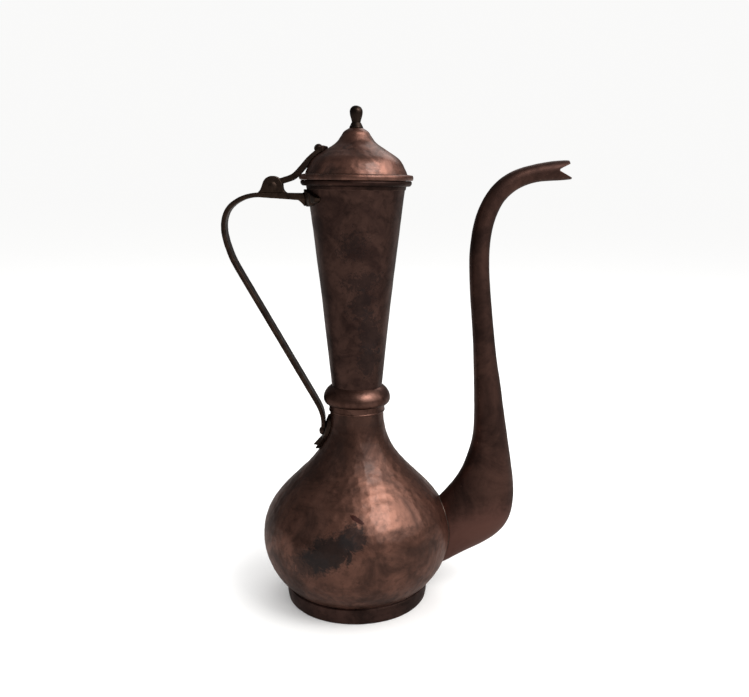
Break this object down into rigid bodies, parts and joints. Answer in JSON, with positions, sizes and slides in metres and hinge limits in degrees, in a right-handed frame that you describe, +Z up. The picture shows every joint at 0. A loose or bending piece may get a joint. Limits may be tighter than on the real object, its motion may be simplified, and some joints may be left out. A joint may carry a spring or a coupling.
{
  "type": "coffee pot",
  "caption": "Tall hammered copper coffee ewer with a round belly, a flared neck, a swan-neck spout with an open beak, a cast strap handle and a hinged domed lid.",
  "frame": {"origin": "centre of the foot ring, on the surface that the pot stands on", "axes": "+Z up the turned axis of the body, +X towards the spout, -X towards the handle and the lid hinge, +Y across"},
  "size_m": [0.2362, 0.1378, 0.3504],
  "materials": {
    "copper": "hammered sheet copper with a dark brown patina, rubbed warm on the high places",
    "bronze": "cast copper alloy, dark grey-brown, worn on the edges",
    "rivets": "peened copper rivets, dark and dull"
  },
  "bodies": {
    "pot": {"foot_ring": "copper", "belly_lower": "copper", "belly_upper": "copper", "neck_collar": "copper", "neck_bead": "copper", "neck_tube": "copper", "rim_band": "copper", "spout": "copper", "handle_strap": "bronze", "neck_palmette": "bronze", "handle_leaf": "bronze", "leaf_rivet": "rivets", "hinge_cheek_front": "bronze", "hinge_cheek_rear": "bronze", "hinge_pin": "rivets"},
    "lid": {"lid_dome": "copper", "lid_bezel": "copper", "lid_strap": "bronze", "strap_end_rivet": "rivets", "strap_flush_rivet": "rivets", "finial_collar": "bronze", "finial": "bronze", "finial_washer": "rivets"}
  },
  "joints": [
    {"name": "lid_hinge", "type": "hinge", "parent": "pot", "child": "lid", "pos_m": [-0.0555, 0, 0.2986], "axis": [0, -1, 0], "range_deg": [0, 110]}
  ]
}
